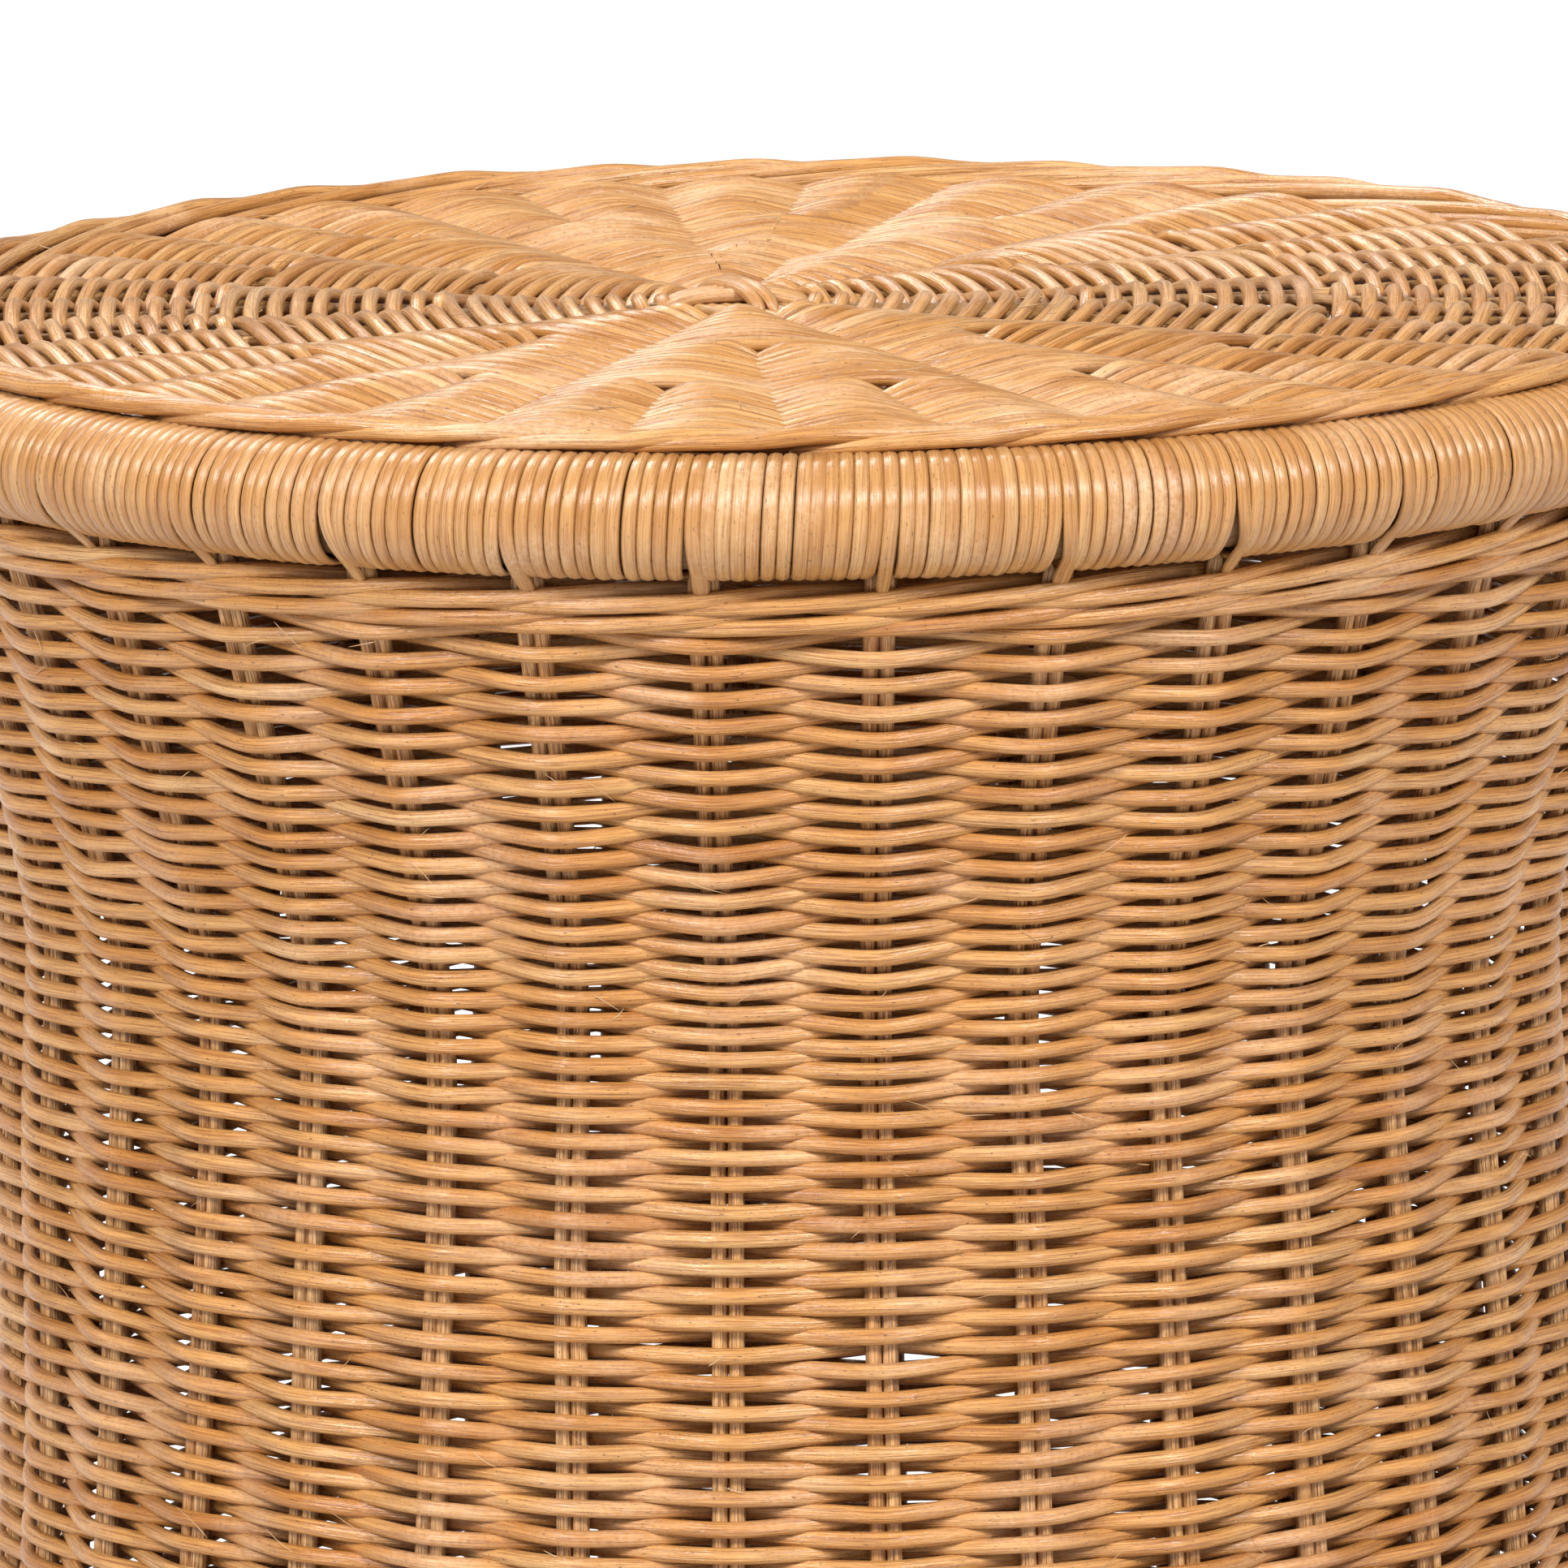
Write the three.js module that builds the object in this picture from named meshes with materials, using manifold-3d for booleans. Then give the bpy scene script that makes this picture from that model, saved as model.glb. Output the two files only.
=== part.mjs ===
// Round rattan laundry hamper with a lift-off lid. Millimetres, +Z up, origin on the floor
// under the middle of the foot. Angles run from -Y (the front) towards +X.
import * as THREE from 'three';
import { mergeVertices } from 'three/addons/utils/BufferGeometryUtils.js';
import Module from 'manifold-3d';

const wasm = await Module();
wasm.setup();

// ---- driving dimensions ----
const GAP = 0.3; // clearance kept between touching pieces
const STAKES = 34; // upright reed pairs around the wall
const FIRST_STAKE = THREE.MathUtils.degToRad(-5.9);
const STAKE_STEP = (2 * Math.PI) / STAKES;
const ROUND_SEGMENTS = 2 * STAKES; // flats around the rim and the lid

const REED = 3.2; // thickness of one round reed
const WALL_THICKNESS = 3 * REED; // reed, stake, reed
const RIM_TOP = 512;
const RIM_RADIUS = 200; // middle of the rim hoop
const RIM_SECTION = 13.2; // half the wrapped rim's height
const CANE = 1.6; // thickness of the cane wrapped around the rim
const HOOP_SECTION = 10.8; // half the bare hoop's height
const STAKE_ROOM = 0.6; // clearance on each side of a stake inside the wall
const STAKE_SLOT = 7; // width of the slot under the rim that the stakes enter
const RIM_CENTRE = RIM_TOP - RIM_SECTION;

// The wall narrows from the rim to a waist and widens again below it.
const WAIST_Z = RIM_TOP - 126;
const WAIST_RADIUS = 167.6;
const FLARE_ABOVE = 0.305;
const FLARE_BELOW = 0.088;
const WAIST_SOFTNESS = 14;

// On one side the waist stands out a little further than round.
const FULLNESS = 6;
const FULL_SIDE = THREE.MathUtils.degToRad(-92);
const FULL_HALF_TURN = THREE.MathUtils.degToRad(50); // where it fades out, to each side
const FULL_Z = WAIST_Z - 21;
const FULL_HALF_HEIGHT = 80; // where it fades out, above and below

const WALE_TOP = 484.2;
const WEAVE_TOP = 473.7;
const FOOT_HEIGHT = 22;
const FOOT_HALF_WIDTH = 9.2;
const FOOT_FLAT = 4.5; // half the flat ring that stands on the floor
const BASE_Z = 13.2; // underside of the woven base

const LID_RODS = 17; // long rods that cross under the lid's weave
const UPPER_RODS = 9; // the rest cross beneath them
const ROD = 2.5;
const LID_REST = RIM_TOP + 0.1; // underside of the lid's border, on the rim
const LID_TOP = 517.2;
const LID_WEAVE_RADIUS = 187.9;
const LID_WEAVE_THICKNESS = 2.6;
const HUB_OFFSET = -14; // the rods cross a little to one side of the middle
const FAN_RADIUS = 46; // where the rods have reached their own spokes

// ---- materials, one for each kind of strand ----
const strand = (name, colour, roughness) => {
  const material = new THREE.MeshStandardMaterial({ color: colour, roughness, metalness: 0 });
  material.name = name;
  return material;
};
const LOOKS = {
  weaver: () => strand('rattan_weaver', 0xd8a66c, 0.55),
  stake: () => strand('rattan_stake', 0xb98f5e, 0.7),
  cane: () => strand('rattan_cane', 0xe3b57f, 0.45),
  pole: () => strand('rattan_pole', 0xc79a66, 0.65),
};

// ---- geometry helpers ----
const soft = (t) => (t + Math.hypot(t, WAIST_SOFTNESS)) / 2;

/** Radius of the middle of the wall at height z. */
function wallRadius(z) {
  return WAIST_RADIUS + FLARE_ABOVE * soft(z - WAIST_Z) + FLARE_BELOW * soft(WAIST_Z - z);
}

/** How far the wall stands out beyond round at an angle and a height. */
function fullness(angle, z) {
  const off = angle - FULL_SIDE;
  const turn = Math.atan2(Math.sin(off), Math.cos(off)) / FULL_HALF_TURN;
  const rise = (z - FULL_Z) / FULL_HALF_HEIGHT;
  if (Math.abs(turn) >= 1 || Math.abs(rise) >= 1) return 0;
  return FULLNESS * (Math.cos((turn * Math.PI) / 2) * Math.cos((rise * Math.PI) / 2)) ** 2;
}

const outward = (angle) => new THREE.Vector3(Math.sin(angle), -Math.cos(angle), 0);
const around = (angle) => new THREE.Vector3(Math.cos(angle), Math.sin(angle), 0);
const stakeAngle = (index) => FIRST_STAKE + index * STAKE_STEP;

/** Heights that follow the wall's curve closely at the waist. */
function wallHeights(low, high) {
  const bend = [-150, -55, -22, 0, 20, 52].map((step) => WAIST_Z + step);
  return [low, ...bend.filter((z) => z > low + 10 && z < high - 10), high];
}

/** A solid of revolution from a line of [radius, z] points, whose ends meet or lie on the axis. */
function lathed(line, segments) {
  const points = line.map(([r, z]) => new THREE.Vector2(r, z));
  const geometry = new THREE.LatheGeometry(points, segments, FIRST_STAKE);
  geometry.rotateX(Math.PI / 2);
  return geometry;
}

/** A ring from its section's [radius, z] outline, which runs anticlockwise. */
const ring = (outline, segments) => lathed([...outline, outline[0]], segments);

/** A flat disc from its underside up. */
function disc(radius, bottom, thickness, segments) {
  const top = bottom + thickness;
  return lathed([[0, bottom], [radius, bottom], [radius, top], [0, top]], segments);
}

/** Points of a circle's arc in [radius, z], angles in degrees from straight outwards. */
function arc(radius, from, to, steps) {
  const points = [];
  for (let i = 0; i <= steps; i += 1) {
    const a = THREE.MathUtils.degToRad(from + ((to - from) * i) / steps);
    points.push([RIM_RADIUS + radius * Math.cos(a), RIM_CENTRE + radius * Math.sin(a)]);
  }
  return points;
}

/** A closed solid swept through stations, each a point with two directions across it. */
function swept(stations, outline) {
  const positions = [];
  const index = [];
  for (const { point, first, second } of stations) {
    for (const [a, b] of outline) {
      const corner = point.clone().addScaledVector(first, a).addScaledVector(second, b);
      positions.push(corner.x, corner.y, corner.z);
    }
  }
  const n = outline.length;
  const last = (stations.length - 1) * n;
  for (let i = 0; i < last; i += n) {
    for (let j = 0; j < n; j += 1) {
      const k = (j + 1) % n;
      index.push(i + j, i + k, i + n + k, i + j, i + n + k, i + n + j);
    }
  }
  const startCentre = positions.length / 3;
  const endCentre = startCentre + 1;
  const ends = [stations[0], stations[stations.length - 1]];
  ends.forEach(({ point }) => positions.push(point.x, point.y, point.z));
  for (let j = 0; j < n; j += 1) {
    const k = (j + 1) % n;
    index.push(startCentre, k, j, endCentre, last + j, last + k);
  }
  const geometry = new THREE.BufferGeometry();
  geometry.setAttribute('position', new THREE.Float32BufferAttribute(positions, 3));
  geometry.setIndex(index);
  geometry.computeVertexNormals();
  return geometry;
}

/** A manifold solid from a closed geometry. */
function solidOf(geometry) {
  const bare = geometry.clone();
  bare.deleteAttribute('normal');
  bare.deleteAttribute('uv');
  const merged = mergeVertices(bare, 1e-4);
  return new wasm.Manifold(
    new wasm.Mesh({
      numProp: 3,
      vertProperties: new Float32Array(merged.attributes.position.array),
      triVerts: new Uint32Array(merged.index.array),
    }),
  );
}

function geometryOf(solid) {
  const { vertProperties, triVerts } = solid.getMesh();
  const geometry = new THREE.BufferGeometry();
  geometry.setAttribute('position', new THREE.Float32BufferAttribute(vertProperties, 3));
  geometry.setIndex(Array.from(triVerts));
  geometry.computeVertexNormals();
  return geometry;
}

/** How far the wall leans out at height z, in radians. */
const leanAt = (z) => Math.atan2(wallRadius(z + 1) - wallRadius(z - 1), 2);

/** A box across the wall, with its middle at the given radius. */
function wallBox(angle, radius, z, { thick, wide, high }) {
  const box = new THREE.BoxGeometry(thick, wide, high);
  box.rotateY(leanAt(z));
  box.rotateZ(angle - Math.PI / 2);
  const place = outward(angle).multiplyScalar(radius);
  box.translate(place.x, place.y, z);
  return box;
}

/** Moves a round wall's points out to the full side of the waist. */
function filledOut(geometry) {
  const place = geometry.attributes.position;
  for (let i = 0; i < place.count; i += 1) {
    const angle = Math.atan2(place.getX(i), -place.getY(i));
    const shift = outward(angle).multiplyScalar(fullness(angle, place.getZ(i)));
    place.setXY(i, place.getX(i) + shift.x, place.getY(i) + shift.y);
  }
  geometry.computeVertexNormals();
  return geometry;
}

const hamper = new THREE.Group();
const lid = new THREE.Group();
const assembly = new THREE.Group();
assembly.add(hamper, lid);

function add(group, name, geometry, look) {
  const mesh = new THREE.Mesh(geometry, LOOKS[look]());
  mesh.name = name;
  group.add(mesh);
}

const padded = (index) => String(index + 1).padStart(2, '0');

// ---- upright stakes: two reeds side by side, running up inside the wall ----
function reedPairOutline() {
  const radius = REED / 2;
  const lobe = [100, 34, -34, -100].map((degrees) => {
    const a = THREE.MathUtils.degToRad(degrees);
    return [radius * Math.sin(a), radius + radius * Math.cos(a)];
  });
  const otherLobe = lobe.map(([a, b]) => [-a, -b]);
  return [...lobe, ...otherLobe];
}

function stake(angle) {
  const heights = wallHeights(FOOT_HEIGHT + 1, RIM_CENTRE - HOOP_SECTION - 0.9);
  const stations = heights.map((z) => {
    const lean = leanAt(z);
    const point = outward(angle).multiplyScalar(wallRadius(z) + fullness(angle, z));
    point.z = z;
    const across = outward(angle).multiplyScalar(Math.cos(lean));
    across.z = -Math.sin(lean);
    return { point, first: across, second: around(angle) };
  });
  return swept(stations, reedPairOutline());
}

for (let i = 0; i < STAKES; i += 1) {
  add(hamper, `stake_pair_${padded(i)}`, stake(stakeAngle(i)), 'stake');
}

// ---- side weave: an outer and an inner layer of reeds with the stakes between them ----
function sideWeave() {
  const heights = wallHeights(FOOT_HEIGHT + GAP, WEAVE_TOP);
  const half = WALL_THICKNESS / 2;
  const slot = REED / 2 + STAKE_ROOM;
  const line = (offset) => heights.map((z) => [wallRadius(z) + offset, z]);
  const outer = ring([...line(half), ...line(slot).reverse()], STAKES);
  const inner = ring([...line(-slot), ...line(-half).reverse()], STAKES);
  let wall = solidOf(outer).add(solidOf(inner));
  // Where the weavers pass from one face to the other, between two stakes.
  const flat = Math.cos(STAKE_STEP / 2);
  const bridge = { thick: 2 * slot + 2, wide: 10, high: 8 };
  for (const z of [FOOT_HEIGHT + 12, WAIST_Z]) {
    for (let i = 0; i < STAKES; i += 1) {
      const crossing = wallBox(stakeAngle(i + 0.5), wallRadius(z) * flat, z, bridge);
      wall = wall.add(solidOf(crossing));
    }
  }
  return filledOut(geometryOf(wall));
}
add(hamper, 'side_weave', sideWeave(), 'weaver');

// ---- top wale: the thicker twisted band that closes the weave under the rim ----
function topWale() {
  const low = WEAVE_TOP + GAP;
  const half = WALL_THICKNESS / 2 + 0.6;
  const edge = half - 1.5; // half the band's thickness at its top and bottom
  const middle = (low + WALE_TOP) / 2;
  const outline = [
    [wallRadius(low) + edge, low],
    [wallRadius(middle) + half, middle],
    [wallRadius(WALE_TOP) + edge, WALE_TOP],
    [wallRadius(WALE_TOP) - edge, WALE_TOP],
    [wallRadius(middle) - half, middle],
    [wallRadius(low) - edge, low],
  ];
  let band = solidOf(ring(outline, STAKES));
  const channel = { thick: REED + 2 * STAKE_ROOM, wide: 2 * (REED + STAKE_ROOM), high: 24 };
  for (let i = 0; i < STAKES; i += 1) {
    band = band.subtract(solidOf(wallBox(stakeAngle(i), wallRadius(middle), middle, channel)));
  }
  return geometryOf(band);
}
add(hamper, 'top_wale', topWale(), 'weaver');

// ---- rim: a pole bent into a hoop, wrapped in cane that is open where the stakes enter ----
const slotHalfAngle = THREE.MathUtils.radToDeg(Math.asin(STAKE_SLOT / 2 / RIM_SECTION)) + 6;
add(
  hamper,
  'rim_hoop',
  ring(arc(HOOP_SECTION, -90, 225, 7), ROUND_SEGMENTS),
  'pole',
);
add(
  hamper,
  'rim_wrap',
  ring(
    [
      ...arc(RIM_SECTION, -90 + slotHalfAngle, 270 - slotHalfAngle, 8),
      ...arc(RIM_SECTION - CANE, 270 - slotHalfAngle, -90 + slotHalfAngle, 8),
    ],
    ROUND_SEGMENTS,
  ),
  'cane',
);

// ---- foot: the hoop that the hamper stands on, flat underneath ----
const footRadius = wallRadius(FOOT_HEIGHT);
const footSide = [
  [FOOT_FLAT, 0],
  [FOOT_HALF_WIDTH - 1.2, 3.5],
  [FOOT_HALF_WIDTH, 9],
  [FOOT_HALF_WIDTH, 13],
  [FOOT_HALF_WIDTH - 1.2, 18.5],
  [FOOT_FLAT, FOOT_HEIGHT],
];
const footOutline = [
  ...footSide.map(([r, z]) => [footRadius + r, z]),
  ...[...footSide].reverse().map(([r, z]) => [footRadius - r, z]),
];
add(hamper, 'foot_hoop', ring(footOutline, STAKES), 'pole');

// ---- base: a woven disc over crossing sticks, held inside the foot ----
const baseRadius = footRadius - FOOT_HALF_WIDTH - 0.5;
add(
  hamper,
  'base_weave',
  disc(baseRadius, BASE_Z, REED, STAKES),
  'weaver',
);

function baseSticks() {
  const crossings = 6;
  let star = null;
  for (let i = 0; i < crossings; i += 1) {
    const stick = new THREE.CylinderGeometry(REED / 2, REED / 2, 2 * (baseRadius - 1.5), 8);
    stick.rotateZ((i * Math.PI) / crossings + 0.1);
    stick.translate(0, 0, BASE_Z - GAP - REED / 2);
    star = star ? star.add(solidOf(stick)) : solidOf(stick);
  }
  return geometryOf(star);
}
add(hamper, 'base_sticks', baseSticks(), 'stake');

// ---- lid: border ring resting on the rim, woven disc, and rods crossing under it ----
add(
  lid,
  'lid_border',
  ring(
    [
      [195, LID_REST],
      [200.5, LID_REST],
      [202, 514],
      [200.5, 516.3],
      [196.5, LID_TOP],
      [191, 516.6],
      [LID_WEAVE_RADIUS + GAP, 515.2],
      [LID_WEAVE_RADIUS + GAP, 508.6],
      [190, 508.6],
    ],
    ROUND_SEGMENTS,
  ),
  'weaver',
);

const weaveBottom = RIM_TOP + 0.4;
add(
  lid,
  'lid_weave',
  disc(LID_WEAVE_RADIUS, weaveBottom, LID_WEAVE_THICKNESS, ROUND_SEGMENTS),
  'weaver',
);

/** One rod: straight across the hub beside its neighbours, then out along a spoke each way. */
function lidRod(axisAngle, turn, shift, z) {
  const near = outward(axisAngle + turn);
  const far = outward(axisAngle + Math.PI - turn);
  const hub = new THREE.Vector3(HUB_OFFSET, 0, 0);
  const fanned = (spoke) => hub.clone().multiplyScalar(0.7).addScaledVector(spoke, FAN_RADIUS);
  const route = new THREE.CatmullRomCurve3(
    [
      near.clone().multiplyScalar(LID_WEAVE_RADIUS),
      fanned(near),
      hub.clone().addScaledVector(around(axisAngle), shift),
      fanned(far),
      far.clone().multiplyScalar(LID_WEAVE_RADIUS),
    ],
    false,
    'centripetal',
  );
  const up = new THREE.Vector3(0, 0, 1);
  const steps = 8;
  const stations = [];
  for (let i = 0; i <= steps; i += 1) {
    const point = route.getPoint(i / steps);
    const along = route.getTangent(i / steps);
    point.z = z;
    stations.push({ point, first: new THREE.Vector3().crossVectors(up, along), second: up });
  }
  const outline = [];
  for (let i = 0; i < 6; i += 1) {
    const a = (i * Math.PI) / 3;
    outline.push([(ROD / 2) * Math.cos(a), (ROD / 2) * Math.sin(a)]);
  }
  return swept(stations, outline);
}

for (let i = 0; i < LID_RODS; i += 1) {
  const upper = i < UPPER_RODS;
  const bundle = upper ? UPPER_RODS : LID_RODS - UPPER_RODS;
  const place = (upper ? i : i - UPPER_RODS) - (bundle - 1) / 2;
  const z = weaveBottom - GAP - ROD * (upper ? 0.5 : 1.5) - (upper ? 0 : GAP);
  const turn = place * STAKE_STEP;
  const rod = lidRod(stakeAngle(i) - turn, turn, place * (ROD + 0.6), z);
  add(lid, `lid_rod_${padded(i)}`, rod, 'stake');
}

export default assembly;
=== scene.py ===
"""A round rattan laundry hamper with a lift-off lid, built strand by strand.

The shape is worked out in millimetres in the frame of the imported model: +Z up, origin on the
floor under the middle of the foot, angles from -Y (the front) towards +X.
"""
import math

import bpy
import numpy as np
from mathutils import Euler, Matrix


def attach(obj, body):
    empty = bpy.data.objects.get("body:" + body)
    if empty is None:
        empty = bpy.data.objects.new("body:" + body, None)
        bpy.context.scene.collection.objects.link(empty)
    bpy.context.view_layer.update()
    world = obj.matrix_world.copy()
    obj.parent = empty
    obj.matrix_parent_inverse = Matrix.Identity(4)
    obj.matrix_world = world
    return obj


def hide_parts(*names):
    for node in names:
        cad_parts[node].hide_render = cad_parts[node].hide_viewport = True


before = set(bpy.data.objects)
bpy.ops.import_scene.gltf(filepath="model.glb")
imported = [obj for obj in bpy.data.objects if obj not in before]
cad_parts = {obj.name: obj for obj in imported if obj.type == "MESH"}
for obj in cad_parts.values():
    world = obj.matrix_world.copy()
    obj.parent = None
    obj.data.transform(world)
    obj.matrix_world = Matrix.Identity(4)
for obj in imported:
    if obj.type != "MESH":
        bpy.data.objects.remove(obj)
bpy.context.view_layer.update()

MM = 0.001
rng = np.random.default_rng(34)

# ---- driving dimensions, from the CAD model ----
STAKES = 34
FIRST_STAKE = math.radians(-5.9)
STEP = 2 * math.pi / STAKES
BACK = STAKES // 2  # the stake at the back, where the rows start
REED = 3.2
RIM_TOP = 512.0
RIM_RADIUS = 200.0
RIM_SECTION = 13.2
RIM_CENTRE = RIM_TOP - RIM_SECTION
HOOP_SECTION = 10.8
WAIST_Z = RIM_TOP - 126
WAIST_RADIUS = 167.6
FLARE_ABOVE = 0.305
FLARE_BELOW = 0.088
WAIST_SOFTNESS = 14.0
WALE_TOP = 484.2
WEAVE_TOP = 473.7
FOOT_HEIGHT = 22.0
FOOT_HALF_WIDTH = 9.2
BASE_Z = 13.2
LID_RODS = 17
UPPER_RODS = 9
LID_WEAVE_RADIUS = 187.9
HUB_OFFSET = -14.0

# ---- the side where the waist is fuller than round, a little more so than in the CAD model ----
FULLNESS = 8.5
FULL_SIDE = math.radians(-92)
FULL_HALF_TURN = math.radians(50)
FULL_Z = WAIST_Z - 21
FULL_HALF_HEIGHT = 120.0

# ---- strands ----
WEAVER = 1.80  # radius of a weaving reed
STAKE_REED = 1.78
LID_WEAVER = 1.6
LID_SPOKE = 1.25
CANE_WIDTH = 2.95  # pitch of the wrapping round the rim
CANE = 1.6
SPOKE_PLANE = 511.0
QUAD_SPLIT = 68.0  # where bundles of four lid spokes part into pairs
PAIR_SPLIT = 118.0  # where the pairs part into single spokes
LID_PITCH = 2.82  # between the rows of the lid
BASE_PITCH = 3.0
WALE_REED = 1.78
STAKE_PROUD = 0.3  # how far the stakes stand out of the middle of the wall
STEPS = 10  # points of a wall strand for each stake it passes
WALL_SPLINTERS = 420
LID_SPLINTERS = 170
UP = np.array([0.0, 0.0, 1.0])


# ================================================================ geometry helpers
def outward(angle):
    """The level direction straight out from the middle, at an angle."""
    angle = np.asarray(angle, float)
    return np.stack([np.sin(angle), -np.cos(angle), np.zeros_like(angle)], -1)


def around(angle):
    """The level direction along a circle, at an angle, the way angles grow."""
    angle = np.asarray(angle, float)
    return np.stack([np.cos(angle), np.sin(angle), np.zeros_like(angle)], -1)


def soft(t):
    """A ramp that rises from 0 round a soft corner at t = 0."""
    return (t + np.hypot(t, WAIST_SOFTNESS)) / 2


def wall_radius(z):
    """Radius of the middle of the wall at height z."""
    return WAIST_RADIUS + FLARE_ABOVE * soft(z - WAIST_Z) + FLARE_BELOW * soft(WAIST_Z - z)


def fullness(angle, z):
    """How far the wall stands out beyond round at an angle and a height."""
    off = np.asarray(angle) - FULL_SIDE
    turn = np.clip(np.arctan2(np.sin(off), np.cos(off)) / FULL_HALF_TURN, -1, 1)
    rise = np.clip((np.asarray(z) - FULL_Z) / FULL_HALF_HEIGHT, -1, 1)
    return FULLNESS * (np.cos(turn * math.pi / 2) * np.cos(rise * math.pi / 2)) ** 2


def wall_lean(z):
    """How far the wall leans outwards at height z, in radians."""
    return np.arctan2(wall_radius(z + 1) - wall_radius(z - 1), 2)


def wall_point(angle, z, proud):
    """A point at height z, moved out of the middle of the wall by proud, square to the wall."""
    lean = wall_lean(z)
    radius = wall_radius(z) + fullness(angle, z) + proud * np.cos(lean)
    place = outward(angle) * radius[..., None]
    place[..., 2] = z - proud * np.sin(lean)
    return place


def wall_normal(angle, z):
    """The direction square to the wall, outwards."""
    lean = wall_lean(z)
    normal = outward(angle) * np.cos(lean)[..., None]
    normal[..., 2] = -np.sin(lean)
    return normal


def eased(t):
    """A smooth step from 0 to 1."""
    t = np.clip(t, 0, 1)
    return t * t * (3 - 2 * t)


def ripple(knots, u):
    """Smooth closed curve through equally spaced knots, at u measured in knots."""
    n = len(knots)
    i = np.floor(u).astype(int)
    t = eased(u - i)
    return knots[i % n] * (1 - t) + knots[(i + 1) % n] * t


def smoothed(values, rounds):
    """Blends each value of a closed row with its neighbours."""
    for _ in range(rounds):
        values = (np.roll(values, 1) + 2 * values + np.roll(values, -1)) / 4
    return values


def random_tone(middle, spread):
    """One strand's tone, which picks its colour, from 0 to 1."""
    return np.clip(rng.normal(middle, spread), 0, 1)


def through(stations, t):
    """Smooth curve through stations, rows of values at equal steps, at t from 0 to 1."""
    stations = np.asarray(stations, float)
    n = len(stations)
    x = np.clip(t, 0, 1) * (n - 1)
    i = np.minimum(np.floor(x).astype(int), n - 2)
    f = (x - i)[:, None]
    p0 = stations[np.maximum(i - 1, 0)]
    p1, p2 = stations[i], stations[i + 1]
    p3 = stations[np.minimum(i + 2, n - 1)]
    bend = 2 * p0 - 5 * p1 + 4 * p2 - p3
    twist = 3 * (p1 - p2) + p3 - p0
    return p1 + 0.5 * f * (p2 - p0 + f * (bend + f * twist))


TIP_SIZES = (0.12, 0.8, 0.8, 0.12)  # how small a strand is at the two points at each end
FIBRE_UNIT = 60.0  # length of strand to one unit of the attribute "fibre"


class Strands:
    """Gathers swept strands and turns them into one piece."""

    def __init__(self):
        self.points, self.quads, self.fibres, self.tones = [], [], [], []
        self.count = 0

    def add(self, path, normal, wide, thick, tone, sides=8, closed=False, tips=True):
        """Sweeps an oval along path: wide and thick are its half sizes across and along normal.

        The normal is one direction for the whole path, or one for each of its points.
        """
        n = len(path)
        if closed:
            tangent = np.roll(path, -1, 0) - np.roll(path, 1, 0)
        else:
            tangent = np.gradient(path, axis=0)
        tangent /= np.linalg.norm(tangent, axis=1)[:, None]
        normal = normal - (normal * tangent).sum(1)[:, None] * tangent
        normal /= np.linalg.norm(normal, axis=1)[:, None]
        side = np.cross(tangent, normal)
        wide = np.broadcast_to(wide, n).astype(float)
        thick = np.broadcast_to(thick, n).astype(float)
        if tips and not closed:
            round_off = np.ones(n)
            round_off[[0, 1, -2, -1]] = TIP_SIZES
            wide, thick = wide * round_off, thick * round_off
        phi = np.arange(sides) * 2 * math.pi / sides
        ring = (
            path[:, None, :]
            + side[:, None, :] * (np.cos(phi)[None, :] * wide[:, None])[..., None]
            + normal[:, None, :] * (np.sin(phi)[None, :] * thick[:, None])[..., None]
        )
        gap = np.linalg.norm(np.diff(path, axis=0), axis=1)
        along = np.concatenate([[0], np.cumsum(gap)]) / FIBRE_UNIT + rng.uniform(0, 900)
        fibre = np.stack(
            [
                np.repeat(along, sides),
                np.tile(np.cos(phi), n),
                np.tile(np.sin(phi), n),
            ],
            -1,
        )
        last = n if closed else n - 1
        i = np.arange(last)[:, None] * sides
        j = np.arange(sides)[None, :]
        k = (j + 1) % sides
        up = ((np.arange(last)[:, None] + 1) % n) * sides
        quads = np.stack([i + j, i + k, up + k, up + j], -1).reshape(-1, 4)
        self.points.append(ring.reshape(-1, 3))
        self.quads.append(quads + self.count)
        self.fibres.append(fibre)
        self.tones.append(np.repeat(np.broadcast_to(tone, n), sides))
        self.count += n * sides

    def piece(self, name, material, slot, body, *nodes):
        """Makes the Blender object, which stands for the CAD nodes named."""
        points = np.concatenate(self.points) * MM
        quads = np.concatenate(self.quads)
        mesh = bpy.data.meshes.new(name)
        mesh.vertices.add(len(points))
        mesh.vertices.foreach_set("co", points.ravel().astype(np.float32))
        mesh.loops.add(quads.size)
        mesh.loops.foreach_set("vertex_index", quads.ravel().astype(np.int32))
        mesh.polygons.add(len(quads))
        mesh.polygons.foreach_set("loop_start", np.arange(0, quads.size, 4, dtype=np.int32))
        mesh.polygons.foreach_set("use_smooth", np.ones(len(quads), bool))
        mesh.update(calc_edges=True)
        fibre = mesh.attributes.new("fibre", "FLOAT_VECTOR", "POINT")
        fibre.data.foreach_set("vector", np.concatenate(self.fibres).ravel().astype(np.float32))
        tone = mesh.attributes.new("tone", "FLOAT", "POINT")
        tone.data.foreach_set("value", np.concatenate(self.tones).astype(np.float32))
        mesh.materials.append(material)
        made = bpy.data.objects.new(name, mesh)
        bpy.context.scene.collection.objects.link(made)
        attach(made, body)
        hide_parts(*nodes)


# ================================================================ materials
PIT = (0.06, 0.022, 0.007)  # the colour of the small dark pits
GROOVE_DEPTH = 0.0004
MIX_COLOURS = (6, 7)  # a Mix node's two colour sockets
MIX_RESULT = 2


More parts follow.
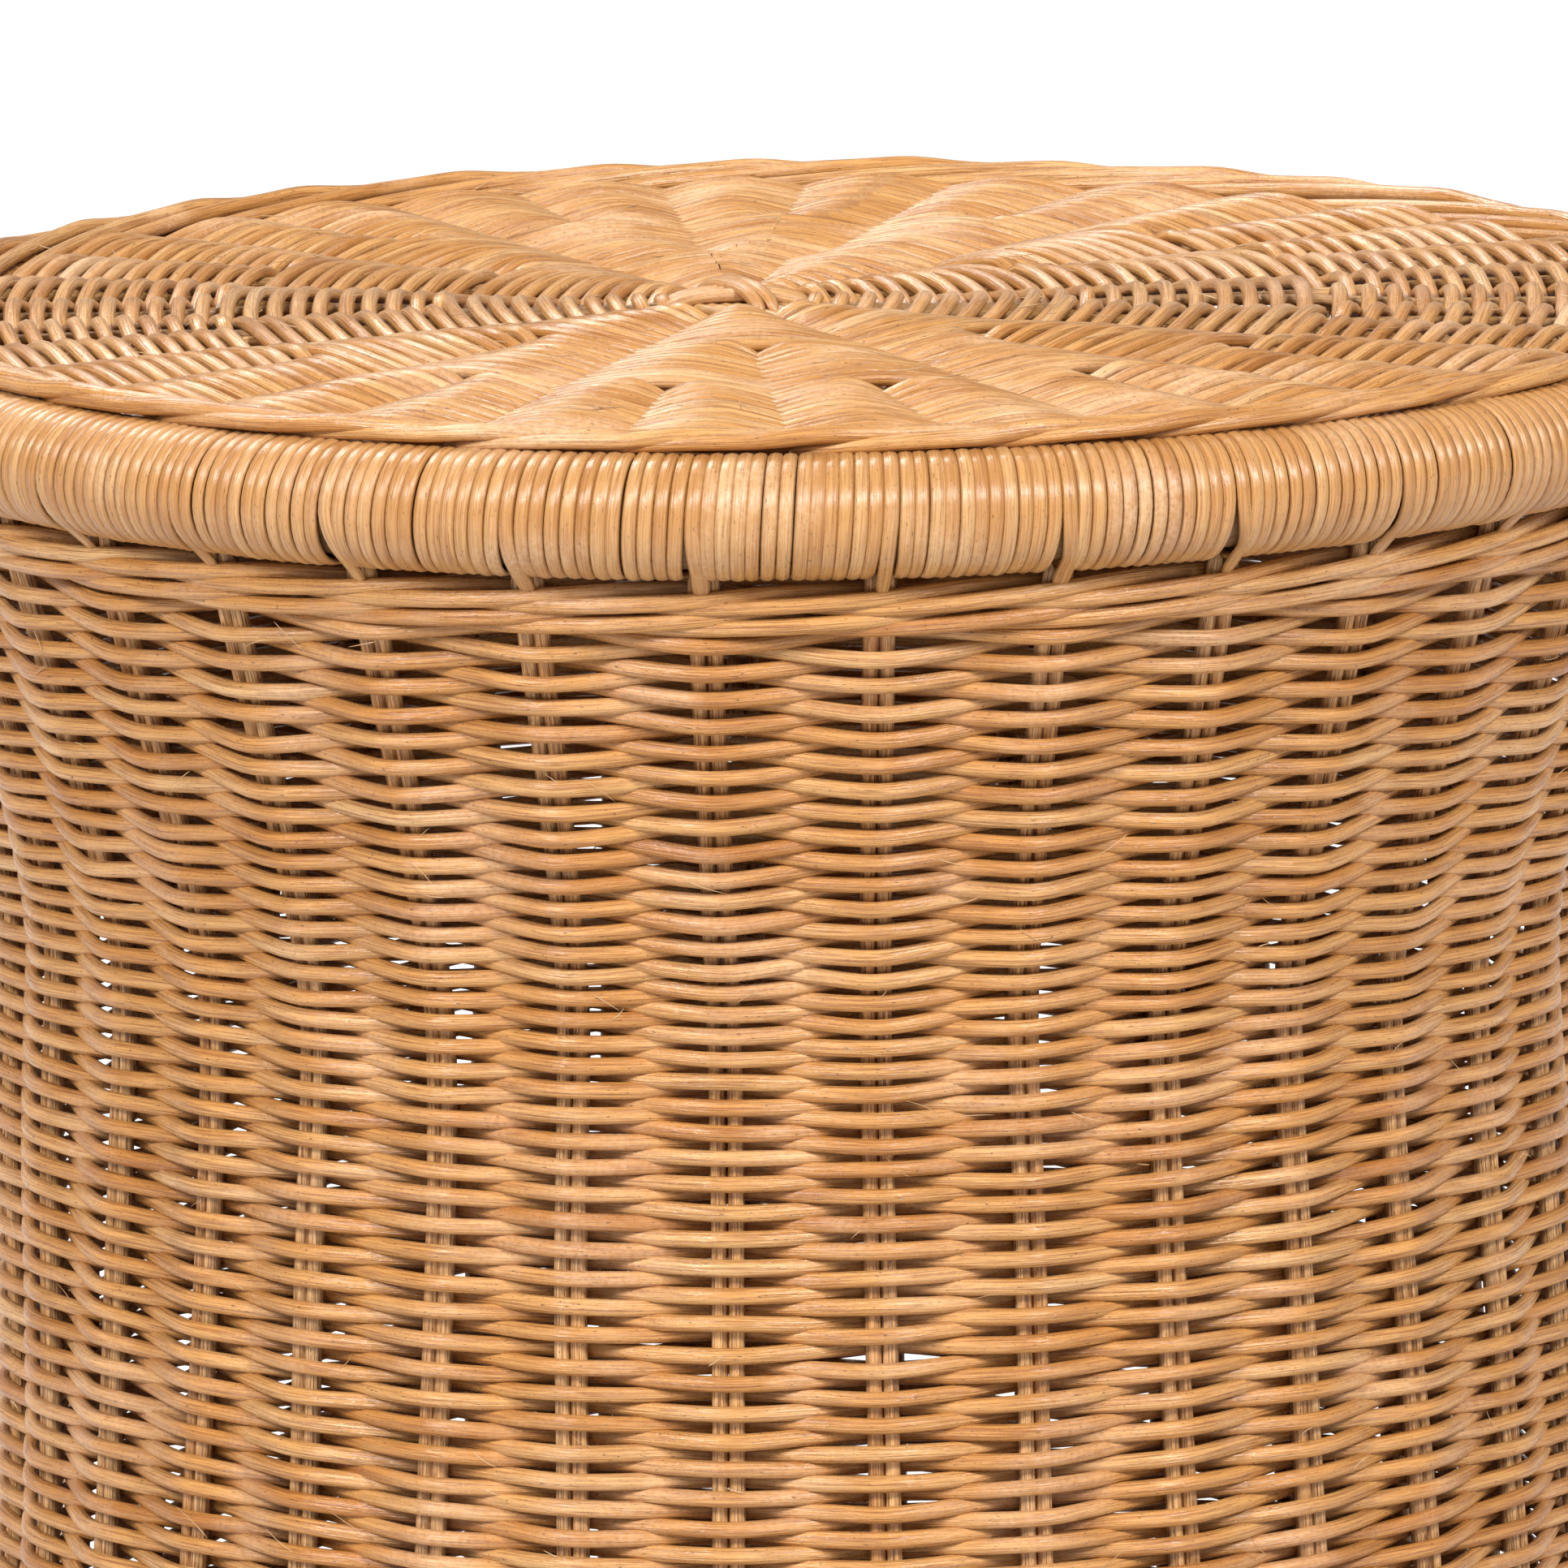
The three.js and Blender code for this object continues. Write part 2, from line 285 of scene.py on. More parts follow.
class Nodes:
    """A material's node tree, with a method for each kind of node that the looks are made of."""

    def __init__(self, material):
        material.use_nodes = True
        self.tree = material.node_tree
        self.tree.nodes.clear()

    def new(self, kind, **settings):
        node = self.tree.nodes.new(kind)
        for setting, value in settings.items():
            setattr(node, setting, value)
        return node

    def feed(self, socket, value):
        """Links an output to a socket, or sets the socket to a plain value."""
        if isinstance(value, bpy.types.NodeSocket):
            self.tree.links.new(value, socket)
        else:
            socket.default_value = value

    def noise(self, vector, stretch, detail, rough=0.5):
        mapping = self.new("ShaderNodeMapping")
        self.feed(mapping.inputs["Scale"], stretch)
        self.feed(mapping.inputs["Vector"], vector)
        texture = self.new("ShaderNodeTexNoise")
        self.feed(texture.inputs["Scale"], 1.0)
        self.feed(texture.inputs["Detail"], detail)
        self.feed(texture.inputs["Roughness"], rough)
        self.feed(texture.inputs["Vector"], mapping.outputs[0])
        return texture.outputs["Fac"]

    def span(self, value, low, high, to_low=0.0, to_high=1.0):
        """Stretches low..high to to_low..to_high and holds it within them."""
        node = self.new("ShaderNodeMapRange")
        self.feed(node.inputs["Value"], value)
        self.feed(node.inputs["From Min"], low)
        self.feed(node.inputs["From Max"], high)
        self.feed(node.inputs["To Min"], to_low)
        self.feed(node.inputs["To Max"], to_high)
        return node.outputs[0]

    def maths(self, operation, a, b):
        node = self.new("ShaderNodeMath", operation=operation)
        self.feed(node.inputs[0], a)
        self.feed(node.inputs[1], b)
        return node.outputs[0]

    def mix(self, factor, *colours):
        node = self.new("ShaderNodeMix", data_type="RGBA")
        self.feed(node.inputs["Factor"], factor)
        for place, colour in zip(MIX_COLOURS, colours):
            self.feed(node.inputs[place], (*colour, 1) if isinstance(colour, tuple) else colour)
        return node.outputs[MIX_RESULT]

    def ramp(self, value, stops):
        node = self.new("ShaderNodeValToRGB")
        elements = node.color_ramp.elements
        while len(elements) < len(stops):
            elements.new(0.5)
        for element, (stop, colour) in zip(elements, stops):
            element.position = stop
            element.color = (*colour, 1)
        self.feed(node.inputs[0], value)
        return node.outputs[0]


def rattan(name, ramp, groove, pale, streak, scuff, roughness, bump):
    """Rattan: each strand's tone picks its colour, under fibre lines, pits and pale scuffs."""
    material = bpy.data.materials.new(name)
    nodes = Nodes(material)
    fibre = nodes.new("ShaderNodeAttribute", attribute_name="fibre").outputs["Vector"]
    tone = nodes.new("ShaderNodeAttribute", attribute_name="tone").outputs["Fac"]
    place = nodes.new("ShaderNodeTexCoord").outputs["Object"]
    drift = nodes.noise(fibre, (0.9, 0.4, 0.4), 2)
    lines = nodes.noise(fibre, (2.6, 3.4, 3.4), 3, 0.6)
    hairs = nodes.noise(fibre, (7.0, 9.0, 9.0), 2)
    pits = nodes.noise(fibre, (46.0, 6.0, 6.0), 1)
    patches = nodes.noise(place, (34.0, 34.0, 44.0), 3)
    grain = nodes.noise(place, (900.0, 900.0, 900.0), 2)

    shade = nodes.maths("ADD", tone, nodes.span(drift, 0.3, 0.7, -0.22, 0.22))
    colour = nodes.ramp(shade, ramp)
    colour = nodes.mix(nodes.span(lines, 0.53, 0.34, 0, streak), colour, groove)
    colour = nodes.mix(nodes.span(hairs, 0.5, 0.34, 0, streak), colour, groove)
    worn = nodes.span(patches, 0.5, 0.68, 0, scuff)
    worn = nodes.maths("MULTIPLY", worn, nodes.span(grain, 0.4, 0.6, 0.4, 1))
    colour = nodes.mix(worn, colour, pale)
    colour = nodes.mix(nodes.span(pits, 0.70, 0.75, 0, 0.85), colour, PIT)

    shine = nodes.span(patches, 0.35, 0.7, roughness - 0.08, roughness + 0.10)
    shine = nodes.maths("ADD", shine, nodes.span(grain, 0.3, 0.7, -0.06, 0.06))

    fine = nodes.maths("ADD", hairs, nodes.maths("MULTIPLY", grain, 0.4))
    relief = nodes.new("ShaderNodeBump")
    nodes.feed(relief.inputs["Strength"], bump)
    nodes.feed(relief.inputs["Distance"], GROOVE_DEPTH)
    nodes.feed(relief.inputs["Height"], nodes.maths("ADD", lines, fine))

    shader = nodes.new("ShaderNodeBsdfPrincipled")
    nodes.feed(shader.inputs["Base Color"], colour)
    nodes.feed(shader.inputs["Roughness"], shine)
    nodes.feed(shader.inputs["Specular IOR Level"], 0.5)
    nodes.feed(shader.inputs["Coat Weight"], 0.2)
    nodes.feed(shader.inputs["Coat Roughness"], 0.25)
    nodes.feed(shader.inputs["Normal"], relief.outputs[0])
    out = nodes.new("ShaderNodeOutputMaterial")
    nodes.feed(out.inputs[0], shader.outputs[0])
    return material


WEAVER_LOOK = rattan(
    "rattan_weaver",
    [
        (0.0, (0.420, 0.165, 0.034)),
        (0.3, (0.515, 0.228, 0.056)),
        (0.55, (0.575, 0.278, 0.080)),
        (0.8, (0.610, 0.325, 0.112)),
        (1.0, (0.645, 0.380, 0.160)),
    ],
    groove=(0.215, 0.058, 0.010),
    pale=(0.730, 0.465, 0.285),
    streak=0.60,
    scuff=0.36,
    roughness=0.28,
    bump=0.7,
)
LID_LOOK = rattan(
    "rattan_lid",
    [
        (0.0, (0.425, 0.180, 0.040)),
        (0.3, (0.520, 0.242, 0.064)),
        (0.55, (0.580, 0.292, 0.090)),
        (0.8, (0.615, 0.338, 0.122)),
        (1.0, (0.650, 0.392, 0.172)),
    ],
    groove=(0.235, 0.070, 0.012),
    pale=(0.740, 0.490, 0.300),
    streak=0.62,
    scuff=0.50,
    roughness=0.31,
    bump=0.5,
)
# Painted light: the stake reeds and base rods get a lighter tan than the weavers' rattan, so that
# they read bright in the shaded gaps between the rows; the orange-tan hue is their own colour, the
# extra lightness is painted light.
STAKE_LOOK_PAINTED_LIGHTER = rattan(
    "rattan_stake",
    [(0.0, (0.660, 0.320, 0.105)), (0.5, (0.770, 0.420, 0.160)), (1.0, (0.840, 0.510, 0.225))],
    groove=(0.150, 0.046, 0.010),
    pale=(0.520, 0.360, 0.220),
    streak=0.85,
    scuff=0.35,
    roughness=0.55,
    bump=0.7,
)
CANE_LOOK = rattan(
    "rattan_cane",
    [(0.0, (0.420, 0.188, 0.052)), (0.5, (0.515, 0.262, 0.086)), (1.0, (0.585, 0.335, 0.136))],
    groove=(0.280, 0.096, 0.024),
    pale=(0.700, 0.485, 0.300),
    streak=0.60,
    scuff=0.45,
    roughness=0.34,
    bump=0.32,
)
# Painted light: the lid rods are a little lighter and more golden than the lid's weavers, so that
# they read lit where they show in the gaps of the weave; the golden hue is their own, the extra
# lightness is painted light.
ROD_LOOK_PAINTED_LIGHTER = rattan(
    "rattan_rod",
    [(0.0, (0.560, 0.300, 0.100)), (1.0, (0.700, 0.420, 0.165))],
    groove=(0.230, 0.085, 0.020),
    pale=(0.700, 0.480, 0.280),
    streak=0.6,
    scuff=0.3,
    roughness=0.45,
    bump=0.5,
)
POLE_LOOK = rattan(
    "rattan_pole",
    [(0.0, (0.215, 0.105, 0.038)), (1.0, (0.300, 0.165, 0.070))],
    groove=(0.110, 0.042, 0.014),
    pale=(0.420, 0.270, 0.150),
    streak=0.6,
    scuff=0.3,
    roughness=0.55,
    bump=0.5,
)
HAIR_LOOK = rattan(
    "rattan_hair",
    [(0.0, (0.420, 0.230, 0.090)), (1.0, (0.640, 0.440, 0.240))],
    groove=(0.260, 0.120, 0.045),
    pale=(0.700, 0.520, 0.340),
    streak=0.3,
    scuff=0.2,
    roughness=0.5,
    bump=0.1,
)


# ================================================================ body
def stake_angle(index):
    """The angle of a stake before its wander."""
    return FIRST_STAKE + np.asarray(index) * STEP


SWAY_KNOTS = 7
STAKE_SWAY = rng.normal(0, 0.0035, (STAKES, SWAY_KNOTS))  # each stake's wander, up its height


def swayed(index, z):
    """The angle of stake index at height z, with its wander."""
    t = np.clip(np.asarray(z, float) / RIM_TOP, 0, 1) * (SWAY_KNOTS - 1)
    i = np.minimum(np.floor(t).astype(int), SWAY_KNOTS - 2)
    f = eased(t - i)
    place = np.asarray(index) % STAKES
    sway = STAKE_SWAY[place, i] * (1 - f) + STAKE_SWAY[place, i + 1] * f
    return stake_angle(index) + sway


def angle_at(u, z):
    """The angle of place u, counted in stakes, at height z."""
    i = np.floor(u).astype(int)
    f = u - i
    return swayed(i, z) * (1 - f) + swayed(i + 1, z) * f


SWELLS = [
    (int(rng.integers(2, 9)), rng.uniform(0.04, 0.10), rng.uniform(0, 6.28), rng.uniform(0.12, 0.3))
    for _ in range(9)
]


def row_swell(angle, z):
    """Slow rise and fall of the rows, shared by neighbouring rows."""
    total = 0
    for turns, rate, phase, size in SWELLS:
        total = total + size * np.sin(turns * angle + rate * z + phase)
    return total


ROW_PITCH_AT = [22, 200, 290, 322, 352, 386, 410, 440, 470]
ROW_PITCH = [3.0, 3.0, 2.95, 3.12, 2.85, 2.57, 2.68, 2.9, 3.25]  # at those heights
ROW_BANDS = 8


def row_heights():
    """Heights of the rows of weaving, from the top down, packed tightest at the waist."""
    heights = []
    z = WEAVE_TOP - 1.2
    while z > FOOT_HEIGHT + 11:
        heights.append(z)
        pitch = np.interp(z, ROW_PITCH_AT, ROW_PITCH)
        z -= pitch * math.cos(float(wall_lean(z)))
    return heights


def over_under(c, bend=0.13):
    """Swing of a weaver, -1 to 1, from its phase's cosine: bent round a stake, straight between."""
    off_stake = np.arccos(np.clip(np.abs(c), 0, 1)) / math.pi
    fall = (np.hypot(off_stake, bend) - bend) / (math.hypot(0.5, bend) - bend)
    return np.sign(c) * (1 - fall)


def body_row(strands, k, z_row):
    """Row k of the wall, in front of every other stake and behind the rest."""
    u = BACK + np.arange(STAKES * STEPS) / STEPS
    lift = ripple(rng.normal(0, 0.16, STAKES), u) + rng.normal(0, 0.08)
    lift = lift + ripple(rng.normal(0, 0.17, 2 * STAKES), 2 * u)
    angle = angle_at(u, z_row)
    z = z_row + row_swell(angle, z_row) + lift
    grip = 1 + ripple(rng.normal(0, 0.05, STAKES), u)
    proud = (STAKE_REED + WEAVER) * grip * over_under(np.cos(math.pi * (u - k)))
    path = wall_point(angle, z, proud)
    normal = wall_normal(angle, z)
    tone = row_tone(u, k)
    size = WEAVER * rng.normal(1, 0.03) * (1 + ripple(rng.normal(0, 0.02, STAKES), u))
    strands.add(path, normal, size, size * 0.97, tone, sides=10, closed=True)


def row_tone(u, k):
    """Tone along one row, which changes where one reed ends and the next starts, inside a stake."""
    tone = np.full(len(u), random_tone(0.5, 0.14))
    starts = np.sort(rng.integers(0, STAKES, 2))
    for start in starts:
        hidden = start + (start + k + 1) % 2
        tone[u - BACK > hidden] = random_tone(0.5, 0.14)
    return np.clip(tone + ripple(rng.normal(0, 0.06, STAKES), u), 0, 1)


def body_weave():
    """The rows of the wall, gathered into bands so that no piece grows too large."""
    heights = row_heights()
    for band in range(ROW_BANDS):
        strands = Strands()
        first, last = (len(heights) * edge // ROW_BANDS for edge in (band, band + 1))
        for k in range(first, last):
            body_row(strands, k, heights[k])
        strands.piece(
            f"side_weave_band_{band + 1}", WEAVER_LOOK, "rattan_weaver", "hamper", "side_weave"
        )


def wale_course(strands, z_mid, first_phase):
    """One course of three reeds, each passing in front of two stakes and behind one."""
    u = BACK + np.arange(STAKES * STEPS + 1) / STEPS
    for j in range(3):
        q = (u + j + first_phase + 0.5) % 3
        swing = np.interp(q, [0, 0.5, 1, 1.5, 2, 2.5, 3], [0.05, 0.92, 1.1, 0.92, 0.05, -1, 0.05])
        swing = smoothed(swing, 2)
        climb = np.interp(q, [0, 0.3, 1.7, 2, 2.5, 3], [-1.3, -1.3, 1.5, 1.6, 0.2, -1.3])
        climb = smoothed(climb, 2)
        angle = angle_at(u, z_mid)
        z = z_mid + climb + ripple(rng.normal(0, 0.22, STAKES), u)
        proud = (STAKE_REED + WEAVER + 0.15) * swing
        size = WALE_REED * rng.normal(1, 0.03)
        tone = np.clip(rng.normal(0.55, 0.15) + ripple(rng.normal(0, 0.1, STAKES), u), 0, 1)
        strands.add(wall_point(angle, z, proud), wall_normal(angle, z), size, size, tone, sides=10)


def wales():
    """Two courses of wale under the rim and two above the foot."""
    strands = Strands()
    wale_course(strands, WEAVE_TOP + 3.3, 0)
    wale_course(strands, WALE_TOP - 2.9, 1)
    strands.piece("top_wale_strands", WEAVER_LOOK, "rattan_weaver", "hamper", "top_wale")
    strands = Strands()
    wale_course(strands, FOOT_HEIGHT + 3.4, 0)
    wale_course(strands, FOOT_HEIGHT + 7.2, 1)
    strands.piece("foot_wale_strands", WEAVER_LOOK, "rattan_weaver", "hamper", "side_weave")


def stakes():
    """Two round reeds side by side at each stake, which end inside the rim."""
    for i in range(STAKES):
        strands = Strands()
        z = np.concatenate([np.linspace(FOOT_HEIGHT + 1, WALE_TOP - 6, 60), [481, 484, 486, 487.5]])
        for side in (-1, 1):
            angle = swayed(np.full(len(z), i), z) + side * (STAKE_REED - 0.02) / wall_radius(z)
            wander = through(rng.normal(0, 0.15, (9, 1)), np.linspace(0, 1, len(z)))[:, 0]
            angle = angle + wander / wall_radius(z)
            path = wall_point(angle, z, STAKE_PROUD)
            tone = random_tone(0.5, 0.2)
            size = STAKE_REED * rng.normal(1, 0.02)
            strands.add(path, wall_normal(angle, z), size, size, tone, sides=10)
        name = f"stake_pair_{i + 1:02d}"
        strands.piece(f"reeds_{i + 1:02d}", STAKE_LOOK_PAINTED_LIGHTER, "rattan_stake", "hamper", name)


# ================================================================ rim
LASHING_NEAR = 2.2  # the wrap that starts this near a stake lashes it to the rim
TAIL_Z = np.array([487.0, 485.0, 482.6, 479.6])  # down the stake, to behind the wale
TAIL_PROUD = np.array([6.3, 4.6, 2.9, 1.6])


def rim_point(angle, alpha, radius):
    """A point of the rim's round section, alpha in radians from straight outwards, upwards."""
    place = outward(angle) * (RIM_RADIUS + radius * np.cos(alpha))[..., None]
    place[..., 2] = RIM_CENTRE + radius * np.sin(alpha)
    return place


def rim_normal(angle, alpha):
    """The direction straight out of the rim's round section."""
    normal = outward(angle) * np.cos(alpha)[..., None]
    normal[..., 2] = np.sin(alpha)
    return normal


def wrap_slant(alpha):
    """How far a wrap has run along the rim, in radians, where it is at alpha round the section."""
    return 0.5 * CANE_WIDTH * np.sin(alpha / 2) / RIM_RADIUS


def rim_wraps():
    """Cane wound round the hoop; it parts below, over each stake, for the lashing."""
    count = int(2 * math.pi * RIM_RADIUS / CANE_WIDTH)
    radius = RIM_SECTION - CANE / 2
    slack = np.cumsum(rng.normal(1, 0.05, count))
    angles = slack / slack[-1] * 2 * math.pi
    parts = [Strands() for _ in range(2)]
    lashed = set()
    for k, angle in enumerate(angles):
        strands = parts[k * 2 // count]
        nearest = (angle - FIRST_STAKE) / STEP
        stake = round(nearest)
        off_stake = (nearest - stake) * STEP * RIM_RADIUS
        wide = CANE_WIDTH / 2 * rng.normal(1.10, 0.03)
        tone = random_tone(0.5, 0.16)
        proud = rng.normal(0, 0.07)
        if abs(off_stake) < LASHING_NEAR and stake not in lashed:
            lashed.add(stake)
            wrap_lashing(strands, angle, off_stake, radius + proud, wide, tone)
            continue
        alpha = np.linspace(0, 2 * math.pi, 30, endpoint=False) - math.pi / 2
        below = np.clip(-np.sin(alpha) - 0.2, 0, 1)
        parting = 1.3 * np.sign(off_stake) * math.exp(-abs(off_stake) / 4) * below / RIM_RADIUS
        turn = angle + wrap_slant(alpha) + parting + rng.normal(0, 0.0004)
        path = rim_point(turn, alpha, radius + proud)
        normal = rim_normal(turn, alpha)
        strands.add(path, normal, wide, CANE / 2, tone, sides=8, closed=True)
    for i, strands in enumerate(parts):
        strands.piece(f"rim_wrap_{i + 1}", CANE_LOOK, "rattan_cane", "hamper", "rim_wrap")


def wrap_lashing(strands, angle, off_stake, radius, wide, tone):
    """A wrap that comes over the hoop, leans onto its stake and goes in behind the wale."""
    points = 26
    alpha = np.radians(np.linspace(235, -58, points))
    lean = eased((math.radians(12) - alpha) / math.radians(66))
    at = angle + wrap_slant(alpha) * (1 - lean) - off_stake / RIM_RADIUS * lean
    path = rim_point(at, alpha, radius)
    normal = rim_normal(at, alpha)
    aim = at[-1] + rng.normal(0, 0.5) / RIM_RADIUS * np.linspace(0, 1, len(TAIL_Z))
    tail = outward(aim) * (wall_radius(TAIL_Z) + TAIL_PROUD)[:, None]
    tail[:, 2] = TAIL_Z
    path = np.concatenate([path, tail])
    normal = np.concatenate([normal, 0.75 * outward(aim) - np.array([0, 0, 0.65])])
    spread = np.ones(len(path))
    spread[points - 6:] = np.linspace(1, rng.uniform(0.9, 1.45), len(path) - points + 6)
    strands.add(path, normal, wide * spread, CANE / 2, tone, sides=8)


def rim_hoop():
    """The pole inside the rim's wrapping."""
    strands = Strands()
    angle = np.linspace(0, 2 * math.pi, 240, endpoint=False)
    path = outward(angle) * RIM_RADIUS
    path[:, 2] = RIM_CENTRE
    strands.add(path, outward(angle), HOOP_SECTION, HOOP_SECTION, 0.5, sides=24, closed=True)
    strands.piece("rim_pole", POLE_LOOK, "rattan_pole", "hamper", "rim_hoop")


# ================================================================ foot and base
def squared(x):
    """A cosine or sine turned into a squarer one, for a round that is nearly a rectangle."""
    return np.sign(x) * np.abs(x) ** 0.8


def foot():
    """The foot hoop, wrapped like the rim, flat where it stands."""
    middle = float(wall_radius(FOOT_HEIGHT))
    height = FOOT_HEIGHT / 2
    core = Strands()
    angle = np.linspace(0, 2 * math.pi, 200, endpoint=False)
    path = outward(angle) * middle
    path[:, 2] = height
    core.add(
        path, outward(angle), height - CANE, FOOT_HALF_WIDTH - CANE, 0.5, sides=24, closed=True
    )
    core.piece("foot_pole", POLE_LOOK, "rattan_pole", "hamper", "foot_hoop")
    strands = Strands()
    count = int(2 * math.pi * middle / CANE_WIDTH)
    slack = np.cumsum(rng.normal(1, 0.05, count))
    for angle in slack / slack[-1] * 2 * math.pi:
        alpha = np.linspace(0, 2 * math.pi, 24, endpoint=False)
        turn = angle + 0.5 * CANE_WIDTH * np.sin(alpha / 2) / middle
        out = (FOOT_HALF_WIDTH - CANE / 2) * squared(np.cos(alpha))
        path = outward(turn) * (middle + out)[:, None]
        path[:, 2] = height + (height - CANE / 2) * squared(np.sin(alpha))
        wide = CANE_WIDTH / 2 * rng.normal(1.03, 0.04)
        tone = random_tone(0.45, 0.2)
        strands.add(path, rim_normal(turn, alpha), wide, CANE / 2, tone, sides=6, closed=True)
    strands.piece("foot_wrap", CANE_LOOK, "rattan_cane", "hamper", "foot_hoop")


def disc_point(radius, angle, z, hub, outer):
    """A point of a round weave whose rings slide from its hub out to its own middle."""
    drift = hub * (1 - np.clip(radius / outer, 0, 1))
    place = outward(angle) * np.asarray(radius)[..., None]
    place[..., 0] += drift
    place[..., 2] = z
    return place


SPOKE_SPACING = 2 * LID_SPOKE + 0.1  # inside a bundle
ROD_SPACING = 2 * LID_SPOKE + 0.15  # across the hub


def bundle_angle(place, size, radius):
    """The angle of a spoke that runs in a bundle of up to size, touching its neighbours."""
    first = place - place % size
    size = np.minimum(size, STAKES - first)
    middle = stake_angle(first + (size - 1) / 2 - STAKES // 2)
    beside = (place - first - (size - 1) / 2) * SPOKE_SPACING
    return middle + beside / np.maximum(radius, 8)


def spoke_angle(index, radius):
    """The angle of spoke index at a radius: in a bundle of four, then in a pair, then alone."""
    index = np.asarray(index)
    radius = np.asarray(radius, float)
    from_back = index + STAKES // 2
    place = from_back % STAKES
    four = bundle_angle(place, 4, radius)
    pair = bundle_angle(place, 2, radius)
    alone = bundle_angle(place, 1, radius)
    angle = four + (pair - four) * eased((radius - QUAD_SPLIT + 10) / 30)
    angle = angle + (alone - angle) * eased((radius - PAIR_SPLIT + 12) / 34)
    return angle + 2 * math.pi * (from_back // STAKES)


def bundle_middle(count, size, radius):
    """The angle of the middle of bundle count, where spokes run size to a bundle."""
    bundles = -(-STAKES // size)
    turn, place = count // bundles, count % bundles
    first = place * size
    last = np.minimum(first + size, STAKES) - 1
    shift = turn * STAKES - STAKES // 2
    return (spoke_angle(first + shift, radius) + spoke_angle(last + shift, radius)) / 2


def weave_angle(v, size, radius):
    """The angle of place v, counted in bundles."""
    i = np.floor(v).astype(int)
    f = v - i
    return bundle_middle(i, size, radius) * (1 - f) + bundle_middle(i + 1, size, radius) * f


BUNDLE_STEPS = {1: 8, 2: 12, 4: 20}  # points of a row for each bundle it passes, by its size
BUNDLE_BEND = {1: 0.22, 2: 0.22, 4: 0.3}


def weave_zone(plane, outer, hub, start, end, pitch, size):
    """Plain weave from radius start in to end, over and under bundles of size spokes."""
    strands = Strands()
    swing = LID_SPOKE + LID_WEAVER
    bundles = -(-STAKES // size)
    k = 0
    radius = start
    while radius > end:
        # An even count of spokes takes closed rows; an odd count one spiral, cut here into turns.
        closed = bundles % 2 == 0
        v = np.arange(bundles * BUNDLE_STEPS[size] + (not closed)) / BUNDLE_STEPS[size]
        here = radius - (0 if closed else pitch * v / bundles)
        wobble = ripple(rng.normal(0, 0.2, bundles), v) + rng.normal(0, 0.08)
        wobble = wobble * np.sin(np.clip(v, 0, bundles) * math.pi / bundles) ** 0.25
        grip = 1 + ripple(rng.normal(0, 0.06, bundles), v)
        swung = over_under(np.cos(math.pi * (v - k)), BUNDLE_BEND[size])
        turn = weave_angle(v, size, here)
        path = disc_point(here + wobble, turn, plane + swing * grip * swung, hub, outer)
        wide = LID_WEAVER * rng.normal(1.12, 0.04)
        tone = np.clip(rng.normal(0.5, 0.15) + ripple(rng.normal(0, 0.1, bundles), v), 0, 1)
        thick = LID_WEAVER * 0.97
        strands.add(path, UP, wide, thick, tone, sides=8, closed=closed, tips=False)
        radius -= pitch
        k += 1
    return strands


def disc_weave(plane, outer, hub, pitch, body, node):
    """The whole disc: over single spokes outside, over pairs within, over fours round the hub."""
    zones = [
        ("outer", outer - LID_WEAVER, PAIR_SPLIT + 6, 1),
        ("middle", PAIR_SPLIT + 4, QUAD_SPLIT + 3, 2),
        ("inner", QUAD_SPLIT + 1, 16.0, 4),
    ]
    for label, start, end, size in zones:
        strands = weave_zone(plane, outer, hub, start, end, pitch, size)
        strands.piece(f"{node}_{label}", LID_LOOK, "rattan_weaver", body, node)


def rod_path(i, plane, outer, hub):
    """The line of one long rod: across the hub beside its neighbours and out to two spokes."""
    upper = i < UPPER_RODS
    bundle = UPPER_RODS if upper else LID_RODS - UPPER_RODS
    place = (i if upper else i - UPPER_RODS) - (bundle - 1) / 2
    axis = float(stake_angle(i)) - place * STEP
    far_angle = axis + math.pi - place * STEP
    far = int(round((far_angle - FIRST_STAKE) / STEP)) % STAKES
    hub_point = np.array([hub, 0, 0]) + around(axis) * place * ROD_SPACING
    height = plane + (1.3 if upper else -1.3)

    def arm(spoke, direction):
        outside = [outer - 1.5, outer * 0.88, outer * 0.76, PAIR_SPLIT]
        radii = np.array(outside + [98, 80, 64, 48, 34, 24])
        angles = spoke_angle(np.full(len(radii), spoke), radii)
        points = disc_point(radii, angles, plane, hub, outer)
        inner = hub_point + outward(axis) * direction * 9
        inner[2] = height
        return points, inner

    near_points, near_inner = arm(i, 1)
    far_points, far_inner = arm(far, -1)
    return np.concatenate([near_points, [near_inner], [far_inner], far_points[::-1]])


def disc_rods(plane, outer, hub):
    """Every long rod's smooth path."""
    t = np.linspace(0, 1, 130)
    return [through(rod_path(i, plane, outer, hub), t) for i in range(LID_RODS)]


def base():
    """The woven disc inside the foot, over rods of its own."""
    plane, outer = BASE_Z + REED / 2, float(wall_radius(FOOT_HEIGHT)) - FOOT_HALF_WIDTH - 1.5
    disc_weave(plane, outer, 0.0, BASE_PITCH, "hamper", "base_weave")
    strands = Strands()
    for path in disc_rods(plane, outer, 0.0):
        strands.add(path, UP, LID_SPOKE, LID_SPOKE, random_tone(0.5, 0.2), sides=8)
    strands.piece("base_rods", STAKE_LOOK_PAINTED_LIGHTER, "rattan_stake", "hamper", "base_sticks")


